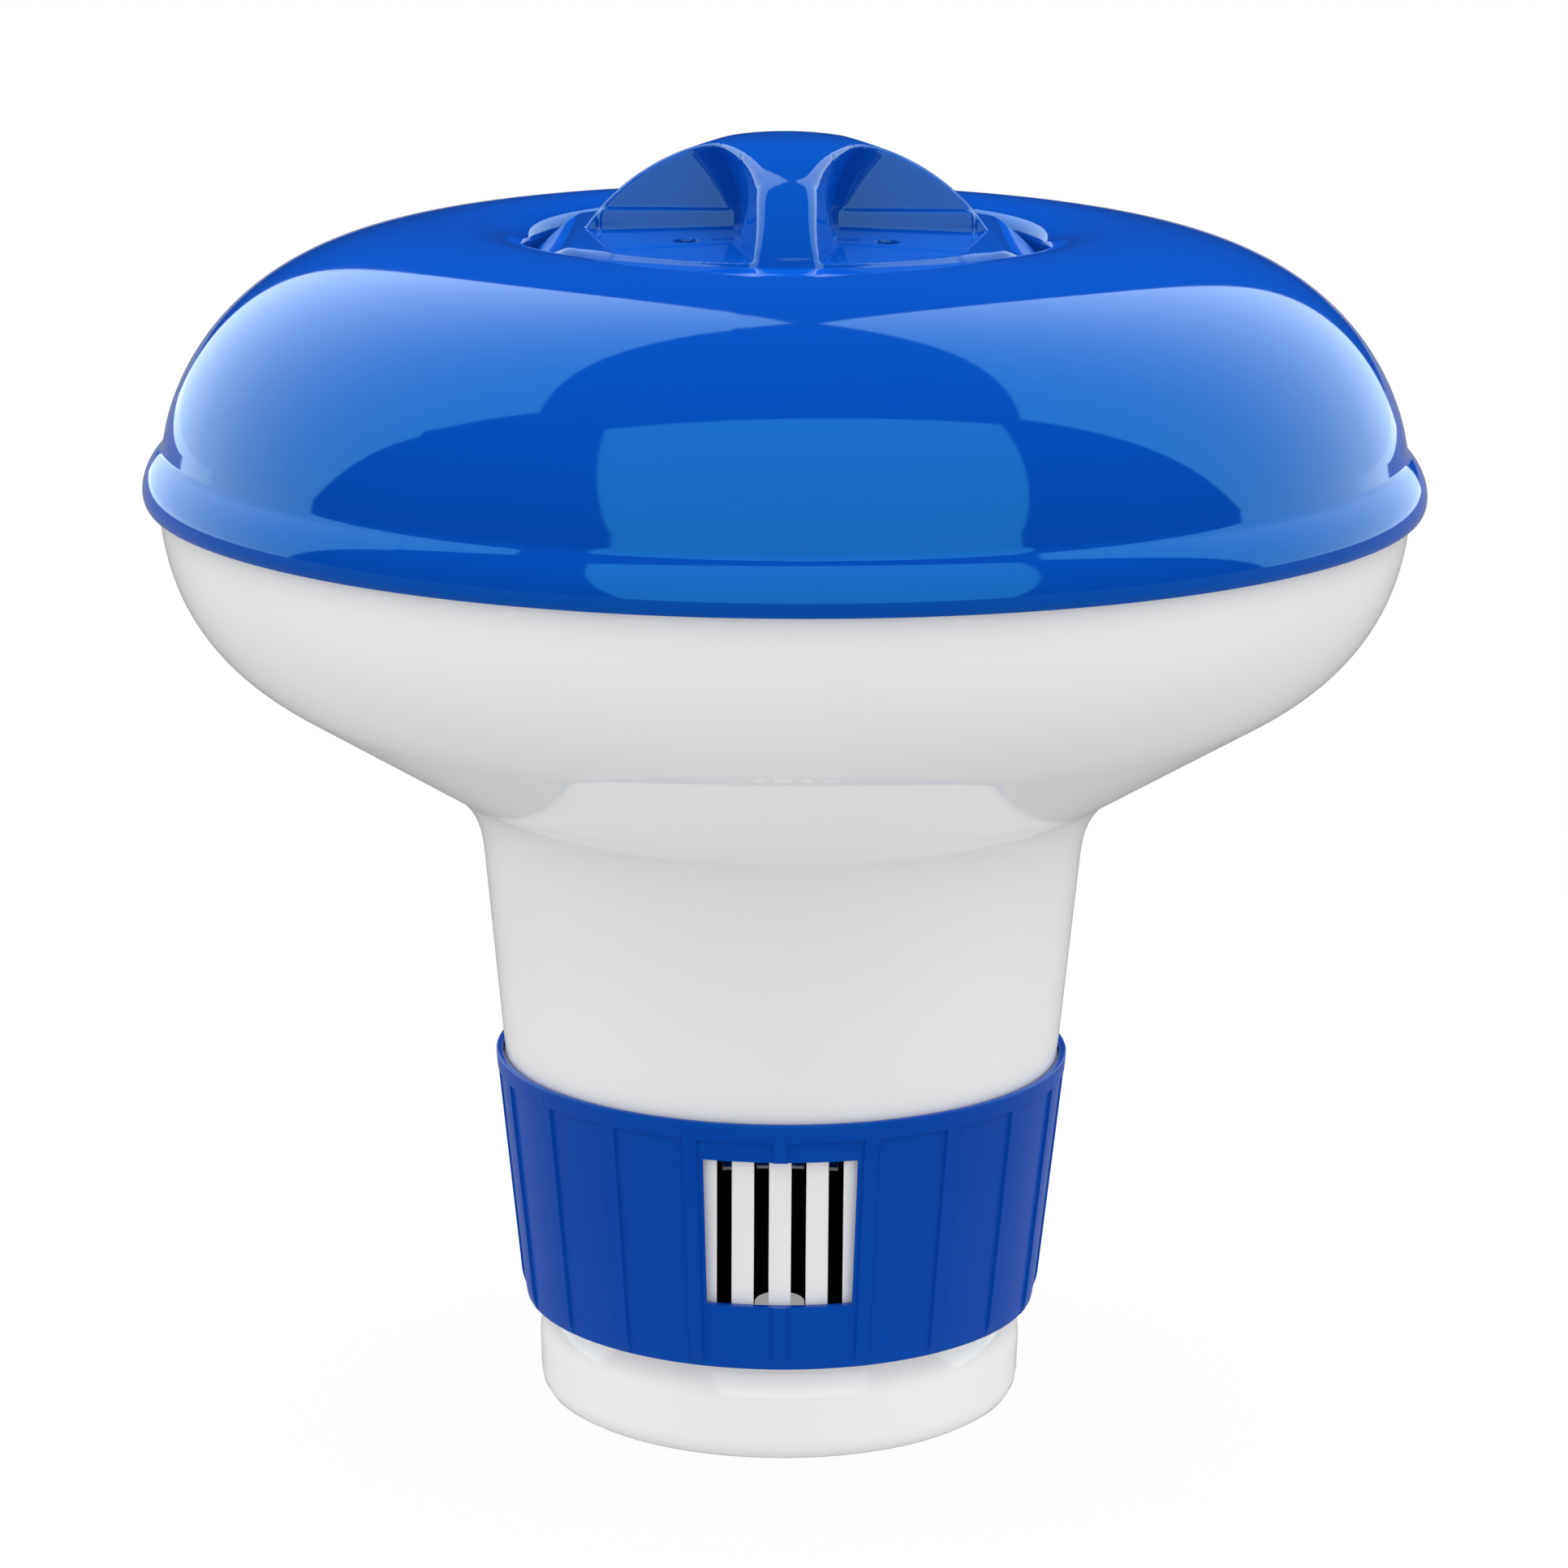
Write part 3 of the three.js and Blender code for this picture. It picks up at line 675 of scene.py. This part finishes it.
def surface_net(field, low, size, step):
    """Skins a distance field: a vertex in each cell that the surface passes, and a quad across each
    crossed edge."""
    axes = [low[i] + step * np.arange(size[i]) for i in range(3)]
    grid = np.stack(np.meshgrid(*axes, indexing="ij"), -1)
    value = field(grid)
    inside = value < 0
    corners = [(i, j, k) for i in (0, 1) for j in (0, 1) for k in (0, 1)]

    def at_corner(values, corner):
        """The values at one corner of every cell."""
        return values[tuple(slice(o, n - 1 + o) for o, n in zip(corner, values.shape))]

    filled = sum(at_corner(inside, corner).astype(np.int8) for corner in corners)
    active = (filled > 0) & (filled < 8)
    total = np.zeros(active.shape + (3,))
    crossings = np.zeros(active.shape)
    for a in corners:
        for axis in range(3):
            if a[axis]:
                continue
            b = tuple(1 if i == axis else a[i] for i in range(3))
            va, vb = at_corner(value, a), at_corner(value, b)
            crossed = (va < 0) != (vb < 0)
            share = np.where(crossed, va / np.where(crossed, va - vb, 1), 0)
            for i in range(3):
                total[..., i] += np.where(crossed, a[i] + (share if i == axis else 0), 0)
            crossings += crossed
    index = -np.ones(active.shape, int)
    index[active] = np.arange(active.sum())
    cells = np.argwhere(active)
    vertices = (cells + total[active] / crossings[active][:, None]) * step + np.array(low)
    faces = []
    for axis in range(3):
        u, v = (axis + 1) % 3, (axis + 2) % 3
        lead = [slice(None)] * 3
        lag = [slice(None)] * 3
        lead[axis], lag[axis] = slice(0, -1), slice(1, None)
        starts, ends = inside[tuple(lead)], inside[tuple(lag)]
        for places, flip in ((starts & ~ends, False), (~starts & ends, True)):
            p = np.argwhere(places)
            p = p[(p[:, u] > 0) & (p[:, v] > 0)]
            quad = []
            for du, dv in ((0, 0), (-1, 0), (-1, -1), (0, -1)):
                q = p.copy()
                q[:, u] += du
                q[:, v] += dv
                quad.append(index[q[:, 0], q[:, 1], q[:, 2]])
            quad = np.stack(quad, 1)
            faces.append(quad[:, ::-1] if flip else quad)
    return vertices, np.concatenate(faces)


def settle(field, vertices):
    """Moves the skin's vertices onto the surface itself, along the field's gradient."""
    for _ in range(SETTLE_ROUNDS):
        slope = gradient(field, vertices, SETTLE_REACH)
        steep = np.maximum((slope ** 2).sum(1), LEAST_STEEP)
        move = np.clip(field(vertices) / steep, -LONGEST_MOVE, LONGEST_MOVE)
        vertices = vertices - move[:, None] * slope
    return vertices


def gradient(field, points, reach):
    """The field's slope, from its values at reach to each side of the points."""
    parts = []
    for axis in range(3):
        shift = np.zeros(3)
        shift[axis] = reach
        parts.append((field(points + shift) - field(points - shift)) / (2 * reach))
    return np.stack(parts, 1)


def build_lid():
    margin = 2 * VOXEL
    low = (-lid.radius - margin, -lid.radius - margin, lid.low - margin)
    spans = (2 * lid.radius, 2 * lid.radius, lid.high - lid.low)
    size = [int((s + 2 * margin) / VOXEL) + 2 for s in spans]
    vertices, faces = surface_net(lid_field, low, size, VOXEL)
    vertices = settle(lid_field, vertices)
    obj = add_object("lid_grip", vertices, faces.tolist())
    clean(obj)
    normals = gradient(lid_field, vertices, NORMAL_REACH)
    normals /= np.linalg.norm(normals, axis=1)[:, None]
    if len(obj.data.vertices) == len(normals):
        obj.data.normals_split_custom_set_from_vertices(normals.tolist())
    return obj


# ---------- Materials ----------
DRIFT, POLISH, WAVES, GRAIN = 14, 60, 35, 1800  # a plastic's noises, in periods to the metre
WAVE_HEIGHT, GRAIN_HEIGHT, WAVE_STRENGTH = 0.0004, 0.00004, 0.035
PAINTED_SHEEN_FROM = 0.55  # how far a face is turned away where the painted sheen starts to brighten its colour
SHADE_FULL, SHADE_NONE = 1.95, 1.75  # depths of full and of no painted shade, in millimetres inside the wall's outer face
SHADE_DARKEST = 0.005  # the share of the colour that the painted shade leaves at the bottom


def shader(name):
    material = bpy.data.materials.new(name)
    material.use_nodes = True
    nodes = material.node_tree.nodes
    return material, nodes, material.node_tree.links, nodes["Principled BSDF"]


def noise(nodes, links, scale, detail=3.0, roughness=0.5):
    """Noise in the frame's own axes, so that it keeps its scale on every piece."""
    place = nodes.new("ShaderNodeTexCoord")
    texture = nodes.new("ShaderNodeTexNoise")
    texture.inputs["Scale"].default_value = scale
    texture.inputs["Detail"].default_value = detail
    texture.inputs["Roughness"].default_value = roughness
    links.new(place.outputs["Object"], texture.inputs["Vector"])
    return texture.outputs["Fac"]


def remap(nodes, links, source, from_range, to_range):
    """A value stretched from one range to another."""
    span = nodes.new("ShaderNodeMapRange")
    span.inputs["From Min"].default_value, span.inputs["From Max"].default_value = from_range
    span.inputs["To Min"].default_value, span.inputs["To Max"].default_value = to_range
    links.new(source, span.inputs["Value"])
    return span.outputs["Result"]


def spread(nodes, links, source, low, high):
    """A noise turned into a value between low and high."""
    return remap(nodes, links, source, (0.3, 0.7), (low, high))


def two_tone(nodes, links, source, dark, light):
    ramp = nodes.new("ShaderNodeValToRGB")
    ramp.color_ramp.elements[0].position = 0.35
    ramp.color_ramp.elements[0].color = (*dark, 1)
    ramp.color_ramp.elements[1].position = 0.65
    ramp.color_ramp.elements[1].color = (*light, 1)
    links.new(source, ramp.inputs["Fac"])
    return ramp.outputs["Color"]


def scaled(nodes, links, colour, factor):
    """A colour times a value."""
    scale = nodes.new("ShaderNodeVectorMath")
    scale.operation = "SCALE"
    links.new(colour, scale.inputs[0])
    links.new(factor, scale.inputs["Scale"])
    return scale.outputs["Vector"]


def combined(nodes, links, operation, first, second):
    """Two values joined by a sum, difference or product."""
    join = nodes.new("ShaderNodeMath")
    join.operation = operation
    for source, socket in zip((first, second), join.inputs):
        if isinstance(source, (int, float)):
            socket.default_value = source
        else:
            links.new(source, socket)
    return join.outputs["Value"]


def bumps(nodes, links, source, distance, strength, onto=None):
    bump = nodes.new("ShaderNodeBump")
    bump.inputs["Strength"].default_value = strength
    bump.inputs["Distance"].default_value = distance
    links.new(source, bump.inputs["Height"])
    if onto:
        links.new(onto, bump.inputs["Normal"])
    return bump.outputs["Normal"]


def moulded_plastic(name, dark, light, roughness, tint=None, grain=0.0, glow=0.0, level=0.5, edge=1.0,
                    deep=None):
    """Injection-moulded plastic: slow colour drift, uneven polish, faint waviness and a fine mould grain.
    edge paints a sheen: it brightens the colour where it is seen at a glancing angle. deep is a (dark,
    light) pair of heights in metres between which the piece's inside, nearer the axis than its wall, falls
    into painted shade, in its colour and its shine."""
    material, nodes, links, bsdf = shader(name)
    colour = two_tone(nodes, links, noise(nodes, links, DRIFT), dark, light)
    # painted sheen: the colour brightened where the face is seen at a glancing angle
    if edge != 1:
        facing = nodes.new("ShaderNodeLayerWeight")
        facing.inputs["Blend"].default_value = 0.5
        painted_sheen = remap(nodes, links, facing.outputs["Facing"], (PAINTED_SHEEN_FROM, 1), (1, edge))
        colour = scaled(nodes, links, colour, painted_sheen)
    bsdf.inputs["Specular IOR Level"].default_value = level
    # painted shade: the inside darkened towards the bottom, in colour and shine
    if deep:
        shade = painted_depth_shade(nodes, links, deep)
        colour = scaled(nodes, links, colour, shade)
        links.new(combined(nodes, links, "MULTIPLY", shade, level), bsdf.inputs["Specular IOR Level"])
    links.new(colour, bsdf.inputs["Base Color"])
    polish = spread(nodes, links, noise(nodes, links, POLISH, 4), *roughness)
    links.new(polish, bsdf.inputs["Roughness"])
    surface = bumps(nodes, links, noise(nodes, links, WAVES, 1), WAVE_HEIGHT, WAVE_STRENGTH)
    if grain:
        surface = bumps(nodes, links, noise(nodes, links, GRAIN, 2), GRAIN_HEIGHT, grain, surface)
    links.new(surface, bsdf.inputs["Normal"])
    bsdf.inputs["IOR"].default_value = 1.5
    if tint:
        bsdf.inputs["Specular Tint"].default_value = (*tint, 1)
    if glow:
        bsdf.inputs["Subsurface Weight"].default_value = glow
        bsdf.inputs["Subsurface Radius"].default_value = (0.004, 0.0038, 0.0035)
    return material


def painted_depth_shade(nodes, links, deep):
    """Painted shade: 1 outside and in the wall; nearer the axis than the cage's inner face, from almost
    nothing low down to 1 high up."""
    place = nodes.new("ShaderNodeTexCoord")
    axes = nodes.new("ShaderNodeSeparateXYZ")
    links.new(place.outputs["Object"], axes.inputs[0])
    flat = nodes.new("ShaderNodeVectorMath")
    flat.operation = "MULTIPLY"
    flat.inputs[1].default_value = (1, 1, 0)
    links.new(place.outputs["Object"], flat.inputs[0])
    radius = nodes.new("ShaderNodeVectorMath")
    radius.operation = "LENGTH"
    links.new(flat.outputs["Vector"], radius.inputs[0])
    (low_r, low_z), (high_r, high_z) = CAGE_LOW, CAGE_HIGH
    cone = remap(nodes, links, axes.outputs["Z"], (low_z * MM, high_z * MM), (low_r * MM, high_r * MM))
    at_step = ((low_z - 0.1) * MM, (low_z + 0.1) * MM)
    spigot = remap(nodes, links, axes.outputs["Z"], at_step, ((low_r - SPIGOT_R) * MM, 0))
    wall = combined(nodes, links, "SUBTRACT", cone, spigot)
    depth = combined(nodes, links, "SUBTRACT", wall, radius.outputs["Value"])
    height = remap(nodes, links, axes.outputs["Z"], deep, (SHADE_DARKEST, 1))
    shade = nodes.new("ShaderNodeMapRange")
    shade.inputs["From Min"].default_value = SHADE_FULL * MM
    shade.inputs["From Max"].default_value = SHADE_NONE * MM
    links.new(depth, shade.inputs["Value"])
    links.new(height, shade.inputs["To Min"])
    return shade.outputs["Result"]


def rubber():
    material, nodes, links, bsdf = shader("black_rubber")
    tone = two_tone(nodes, links, noise(nodes, links, 90), (0.018, 0.019, 0.02), (0.035, 0.036, 0.038))
    links.new(tone, bsdf.inputs["Base Color"])
    links.new(spread(nodes, links, noise(nodes, links, 300), 0.6, 0.8), bsdf.inputs["Roughness"])
    links.new(bumps(nodes, links, noise(nodes, links, 2500), 0.00005, 0.4), bsdf.inputs["Normal"])
    return material


def metal(name, dark, light, roughness, metallic=1.0, glow=0.0):
    """Metal with uneven polish. glow is painted light: an emission that stands in for light reaching it
    through the translucent foot.
    """
    material, nodes, links, bsdf = shader(name)
    bsdf.inputs["Metallic"].default_value = metallic
    bsdf.inputs["Emission Color"].default_value = (1, 1, 1, 1)
    bsdf.inputs["Emission Strength"].default_value = glow
    links.new(two_tone(nodes, links, noise(nodes, links, 120, 5), dark, light), bsdf.inputs["Base Color"])
    links.new(spread(nodes, links, noise(nodes, links, 500, 5), *roughness), bsdf.inputs["Roughness"])
    links.new(bumps(nodes, links, noise(nodes, links, 1500), 0.00004, 0.25), bsdf.inputs["Normal"])
    return material


# ---------- Studio ----------
PANEL_REACH = 1.5  # from the axis to a panel where it crosses the object's top
PANEL_HALF_WIDTH = 0.73  # the panels' shape, in shares of the reach
PANEL_BOTTOM, PANEL_TOP_EDGE = (1.14, -0.09), (0.52, 1.33)
PANEL_RAISE = 0.17
PANELS_ROUND = ((5.8, 1.6, 0.55), (-126, 1.75, 1.4), (121.9, 1.8, 1.8))  # azimuth, shine, fill
OVERHEAD_SIZE, OVERHEAD_HEIGHT, OVERHEAD_RADIANCE = 3.0, 2.0, 1.0
FLOOR_FILL, FLOOR_SHINE, FLOOR_SHADOW = 0.7, 0.27, 0.06
SKY_FILL, SKY_SHINE = 1.05, 0.01
SHINE_COLOUR = (0.85, 1, 1)
FLOOR_HALF = 6.0  # metres
LENS, SENSOR = 122.2, 36
CAMERA_PLACE, CAMERA_DOWN_DEG, CAMERA_ROLL_DEG = (0.00017, -0.8345, 0.2982), 13.27, 0.38


def soft_box(name, width, height, radiance, shines):
    """A soft box that is either mirrored by the object or lights it, so that the two can be set apart."""
    light = bpy.data.lights.new(name, "AREA")
    light.shape = "RECTANGLE"
    light.size, light.size_y = width, height
    light.color = SHINE_COLOUR if shines else (1, 1, 1)
    light.energy = radiance * math.pi * width * height
    obj = bpy.data.objects.new(name, light)
    bpy.context.scene.collection.objects.link(obj)
    obj.visible_camera = False
    obj.visible_diffuse = not shines
    obj.visible_glossy = shines
    return obj


def build_panel(azimuth, radiance, shines):
    """One of three large soft boxes that lean over the object."""
    (near_low, low), (near_high, high) = PANEL_BOTTOM, PANEL_TOP_EDGE
    height = math.hypot(near_low - near_high, high - low) * PANEL_REACH
    width = 2 * PANEL_HALF_WIDTH * PANEL_REACH
    obj = soft_box("panel_shine" if shines else "panel_fill", width, height, radiance, shines)
    turn = math.radians(azimuth)
    out = Vector((math.sin(turn), -math.cos(turn), 0))
    middle = out * (near_low + near_high) / 2 * PANEL_REACH
    middle.z = (low + high) / 2 * PANEL_REACH + PANEL_RAISE
    up = (out * (near_high - near_low) + Vector((0, 0, high - low))).normalized()
    side = up.cross(out).normalized()
    away = side.cross(up)  # the lamp shines the other way, towards the object
    obj.matrix_world = Matrix((side, up, away)).transposed().to_4x4()
    obj.location = middle


def by_ray(nodes, links, camera, shine, fill):
    """A strength for what the camera sees, what the object mirrors and what lights it."""
    rays = nodes.new("ShaderNodeLightPath")
    indirect = remap(nodes, links, rays.outputs["Is Glossy Ray"], (0, 1), (fill, shine))
    all_rays = nodes.new("ShaderNodeMapRange")
    all_rays.inputs["To Max"].default_value = camera
    links.new(rays.outputs["Is Camera Ray"], all_rays.inputs["Value"])
    links.new(indirect, all_rays.inputs["To Min"])
    return all_rays.outputs["Result"]


def build_floor():
    """A pale, softly lit floor with a faint shadow under the object."""
    half = FLOOR_HALF / MM
    corners = [(-half, -half, 0), (half, -half, 0), (half, half, 0), (-half, half, 0)]
    floor = add_object("floor", corners, [(0, 1, 2, 3)])
    material, nodes, links, bsdf = shader("pale_floor")
    tone = two_tone(nodes, links, noise(nodes, links, 3), (0.8, 0.8, 0.8), (0.82, 0.82, 0.82))
    links.new(tone, bsdf.inputs["Base Color"])
    bsdf.inputs["Roughness"].default_value = 0.8
    bsdf.inputs["Specular IOR Level"].default_value = 0.1
    place = nodes.new("ShaderNodeTexCoord")
    length = nodes.new("ShaderNodeVectorMath")
    length.operation = "LENGTH"
    links.new(place.outputs["Object"], length.inputs[0])
    near = remap(nodes, links, length.outputs["Value"], (0.05, 0.4), (1 - FLOOR_SHADOW, 1))
    white = nodes.new("ShaderNodeEmission")
    links.new(by_ray(nodes, links, 1, FLOOR_SHINE, FLOOR_FILL), white.inputs["Strength"])
    mix = nodes.new("ShaderNodeMixShader")
    links.new(near, mix.inputs["Fac"])
    links.new(bsdf.outputs["BSDF"], mix.inputs[1])
    links.new(white.outputs["Emission"], mix.inputs[2])
    links.new(mix.outputs["Shader"], nodes["Material Output"].inputs["Surface"])
    floor.data.materials.append(material)


def build_world():
    """White behind the object, dim in its reflections."""
    world = bpy.data.worlds.new("studio")
    bpy.context.scene.world = world
    world.use_nodes = True
    nodes, links = world.node_tree.nodes, world.node_tree.links
    background = nodes["Background"]
    background.inputs["Color"].default_value = (1, 1, 1, 1)
    links.new(by_ray(nodes, links, 1, SKY_SHINE, SKY_FILL), background.inputs["Strength"])


def build_camera():
    camera = bpy.data.cameras.new("camera")
    camera.lens, camera.sensor_width = LENS, SENSOR
    obj = bpy.data.objects.new("camera", camera)
    bpy.context.scene.collection.objects.link(obj)
    obj.location = CAMERA_PLACE
    pitch = Matrix.Rotation(math.radians(90 - CAMERA_DOWN_DEG), 3, "X")
    roll = Matrix.Rotation(math.radians(CAMERA_ROLL_DEG), 3, "Z")
    obj.rotation_euler = (pitch @ roll).to_euler()
    bpy.context.scene.camera = obj


# ---------- Assembly ----------

def turned(name, outline, closed=True, columns=None):
    """A turned piece with the same outline all round."""
    obj = revolve(name, lambda column: outline, columns, closed)
    even_shading(obj)
    return obj


# edge paints a sheen on these plastics, brightening the colour at glancing angles
GLOSS_BLUE = moulded_plastic("gloss_blue", (0.0012, 0.062, 0.39), (0.0014, 0.065, 0.405), (0.04, 0.06),
                             tint=(0.14, 1.15, 1.6), edge=1.4)
LID_BLUE = moulded_plastic("lid_blue", (0.0012, 0.063, 0.38), (0.0014, 0.066, 0.395), (0.05, 0.07),
                           tint=(0.5, 1.0, 1.15), edge=1.35)
SATIN_BLUE = moulded_plastic("satin_blue", (0.0012, 0.056, 0.385), (0.0015, 0.06, 0.405), (0.28, 0.36),
                             tint=(0.1, 0.7, 1.2), grain=0.12, level=0.25, edge=1.2)
WHITE_PLASTIC = dict(dark=(0.86, 0.86, 0.86), light=(0.89, 0.89, 0.89), roughness=(0.05, 0.09), glow=0.15,
                     grain=0.03, edge=1.12)
WHITE = moulded_plastic("white_plastic", **WHITE_PLASTIC)
# this copy of the white paints shade into the cage's inside, darker towards the bottom
CAGE_WHITE_PAINTED_SHADE = moulded_plastic("cage_white_painted_shade", **WHITE_PLASTIC, deep=(0.07, 0.13))
RUBBER = rubber()
# glow paints light onto the screw as an emission
STEEL = metal("screw_steel", (0.5, 0.5, 0.5), (0.65, 0.65, 0.66), (0.25, 0.4), metallic=0.3, glow=0.3)
BALLAST = metal("ballast_zinc", (0.3, 0.31, 0.32), (0.42, 0.43, 0.44), (0.4, 0.6))

upper_shell = build_upper_shell()
even_shading(upper_shell)
finish_piece(upper_shell, "float", GLOSS_BLUE, "upper_float_shell")

lower_shell = build_lower_shell()
soften(lower_shell, 0.25)
even_shading(lower_shell)
# the cage's inside carries painted shade
finish_piece(lower_shell, "float", CAGE_WHITE_PAINTED_SHADE, "lower_float_shell")

ribbed_collar = build_collar()
even_shading(ribbed_collar)
finish_piece(ribbed_collar, "collar", SATIN_BLUE, "flow_collar")

finish_piece(build_lid(), "lid", LID_BLUE, "lid")

foot_cup = turned("foot_cup", foot_outline(), closed=False)
finish_piece(foot_cup, "float", WHITE, "base_cap")

finish_piece(turned("sleeve_tube", sleeve_outline()), "float", WHITE, "inner_sleeve")

foot_screw = turned("foot_screw", screw_outline(), False, even_columns(48))
finish_piece(foot_screw, "float", STEEL, "base_screw")

washer_ring = turned("washer_ring", box_ring(washer, 2.5, 0.1))
finish_piece(washer_ring, "float", RUBBER, "screw_washer")

ballast_weight = turned("ballast_weight", box_ring(ballast, 8.0, 0.8))
finish_piece(ballast_weight, "float", BALLAST, "ballast_ring")

lid_seal_ring = turned("lid_seal_ring", box_ring(lid_seal, 38.55, 0.5))
finish_piece(lid_seal_ring, "lid_seal", RUBBER, "lid_gasket")

SEALS = {  # the float's other seals, by node
    "flange_gasket": box_ring(Node("flange_gasket"), 97.2, 0.15),
    "sleeve_gasket": box_ring(Node("sleeve_gasket"), 42.0, 0.15),
    "sleeve_oring": round_ring(Node("sleeve_oring"), 40.75),
    "base_oring": round_ring(Node("base_oring"), 35.85),
}
for node, outline in SEALS.items():
    finish_piece(turned(node + "_ring", outline), "float", RUBBER, node)

for azimuth, shine, fill in PANELS_ROUND:
    build_panel(azimuth, shine, True)
    build_panel(azimuth, fill, False)
overhead = soft_box("overhead", OVERHEAD_SIZE, OVERHEAD_SIZE, OVERHEAD_RADIANCE, False)
overhead.location = (0, 0, OVERHEAD_HEIGHT)
build_floor()
build_world()
build_camera()
bpy.context.scene.view_settings.view_transform = "Standard"
